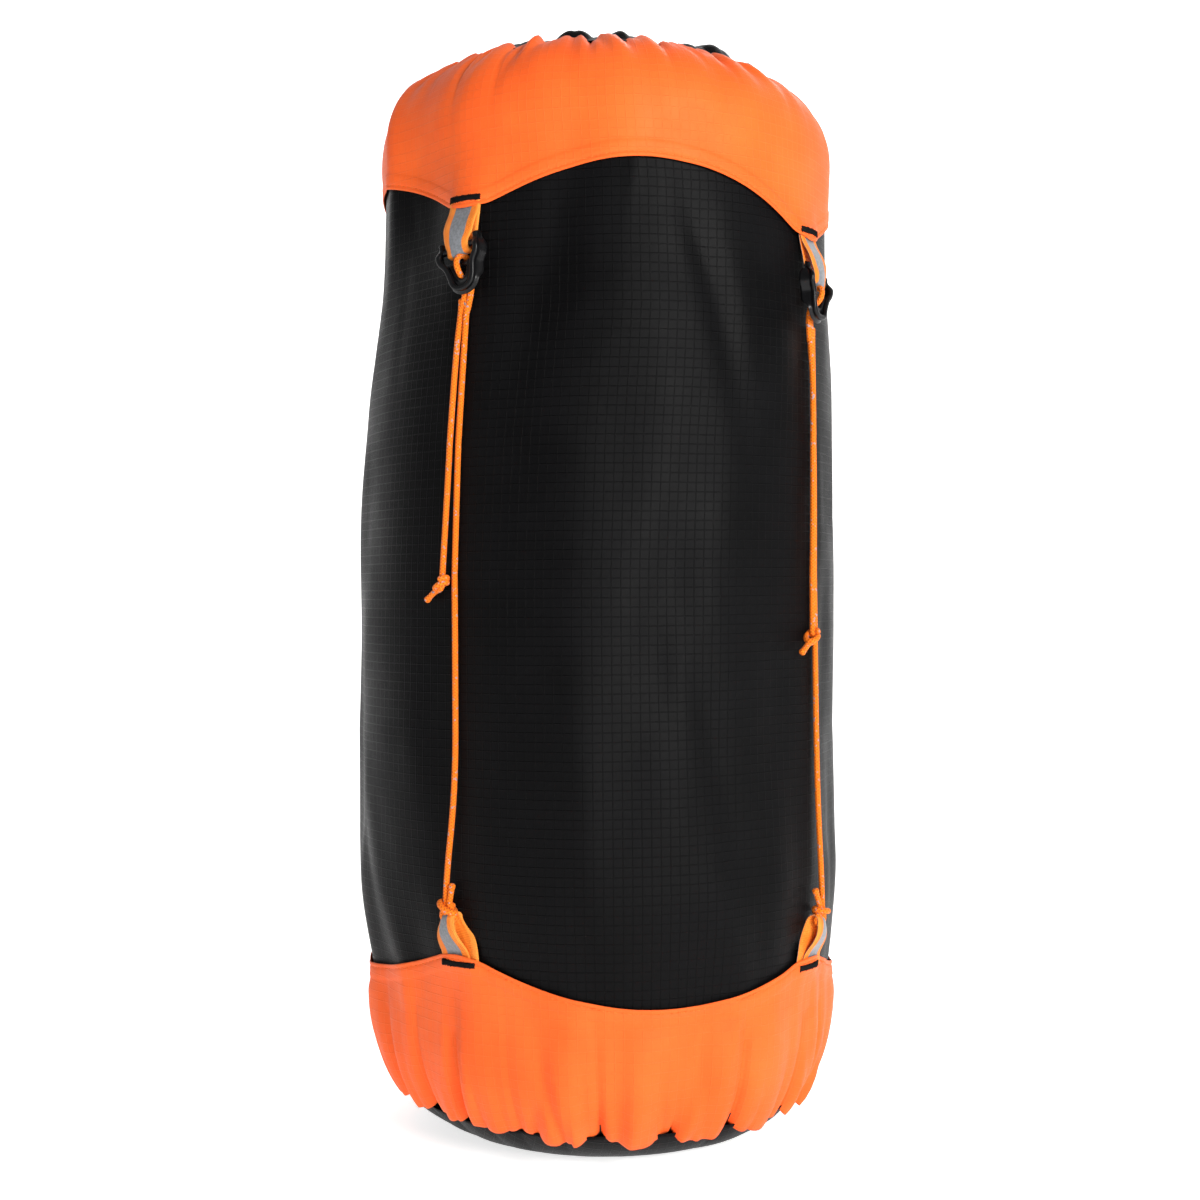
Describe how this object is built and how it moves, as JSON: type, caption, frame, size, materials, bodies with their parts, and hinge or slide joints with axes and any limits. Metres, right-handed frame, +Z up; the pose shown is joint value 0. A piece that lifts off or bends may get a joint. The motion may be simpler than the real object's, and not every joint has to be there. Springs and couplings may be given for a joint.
{
  "type": "compression sack",
  "caption": "Tall round compression sack with scalloped orange end bands, black sides and corded tension lines through line locks.",
  "frame": {"origin": "centre of the flat bottom that the sack stands on", "axes": "+Z up along the sack's axis, -Y out of the front, +X to the sack's right as seen from the front"},
  "size_m": [0.216, 0.216, 0.4754],
  "materials": {
    "orange_fabric": "satin",
    "black_fabric": "satin",
    "binding_tape": "matte",
    "packed_clothing": "matte",
    "thread": "satin",
    "webbing": "satin",
    "black_plastic": "satin",
    "spring_steel": "satin",
    "black_cord": "matte",
    "orange_cord": "satin"
  },
  "bodies": {
    "base": {"bottom_panel": "black_fabric", "bottom_band": "orange_fabric", "body_fabric_lower": "black_fabric", "bottom_seam_binding": "binding_tape", "packed_load": "packed_clothing", "bottom_bartacks": "thread", "bottom_loop_front_left": "webbing", "bottom_knot_front_left": "orange_cord", "cord_run_front_left": "orange_cord", "bottom_loop_front_right": "webbing", "bottom_knot_front_right": "orange_cord", "cord_run_front_right": "orange_cord", "bottom_loop_back_right": "webbing", "bottom_knot_back_right": "orange_cord", "cord_run_back_right": "orange_cord", "bottom_loop_back_left": "webbing", "bottom_knot_back_left": "orange_cord", "cord_run_back_left": "orange_cord"},
    "cap": {"body_fabric_upper": "black_fabric", "top_band": "orange_fabric", "top_collar": "black_fabric", "top_seam_binding": "binding_tape", "drawcord_channel": "black_fabric", "drawcord": "black_cord", "drawcord_knot": "black_cord", "cord_lock_barrel": "black_plastic", "cord_lock_spring": "spring_steel", "dust_flap": "black_fabric", "top_bartacks": "thread", "top_loop_front_left": "webbing", "cord_tail_front_left": "orange_cord", "tail_knot_front_left": "orange_cord", "top_loop_front_right": "webbing", "cord_tail_front_right": "orange_cord", "tail_knot_front_right": "orange_cord", "top_loop_back_right": "webbing", "cord_tail_back_right": "orange_cord", "tail_knot_back_right": "orange_cord", "top_loop_back_left": "webbing", "cord_tail_back_left": "orange_cord", "tail_knot_back_left": "orange_cord"},
    "cord_lock_button": {"cord_lock_button": "black_plastic"},
    "line_lock_front_left": {"line_lock_front_left": "black_plastic", "cord_bight_front_left": "orange_cord"},
    "line_lock_front_right": {"line_lock_front_right": "black_plastic", "cord_bight_front_right": "orange_cord"},
    "line_lock_back_right": {"line_lock_back_right": "black_plastic", "cord_bight_back_right": "orange_cord"},
    "line_lock_back_left": {"line_lock_back_left": "black_plastic", "cord_bight_back_left": "orange_cord"}
  },
  "joints": [
    {"name": "compression", "type": "slide", "parent": "base", "child": "cap", "axis": [0, 0, 1], "range_m": [-0.09, 0], "deforming": ["packed_load", "cord_run_front_left", "cord_run_front_right", "cord_run_back_right", "cord_run_back_left"]},
    {"name": "cord_lock_press", "type": "slide", "parent": "cap", "child": "cord_lock_button", "axis": [-1, 0, 0], "range_m": [0, 0.003], "stiffness_N_per_m": 800, "springref_m": -0.002, "deforming": ["cord_lock_spring"]},
    {"name": "line_lock_lift_front_left", "type": "hinge", "parent": "cap", "child": "line_lock_front_left", "pos_m": [-0.07806, -0.07806, 0.385], "axis": [-0.7071, 0.7071, 0], "range_deg": [0, 60]},
    {"name": "line_lock_lift_front_right", "type": "hinge", "parent": "cap", "child": "line_lock_front_right", "pos_m": [0.07806, -0.07806, 0.377], "axis": [-0.7071, -0.7071, 0], "range_deg": [0, 60]},
    {"name": "line_lock_lift_back_right", "type": "hinge", "parent": "cap", "child": "line_lock_back_right", "pos_m": [0.07806, 0.07806, 0.377], "axis": [0.7071, -0.7071, 0], "range_deg": [0, 60]},
    {"name": "line_lock_lift_back_left", "type": "hinge", "parent": "cap", "child": "line_lock_back_left", "pos_m": [-0.07806, 0.07806, 0.385], "axis": [0.7071, 0.7071, 0], "range_deg": [0, 60]}
  ]
}
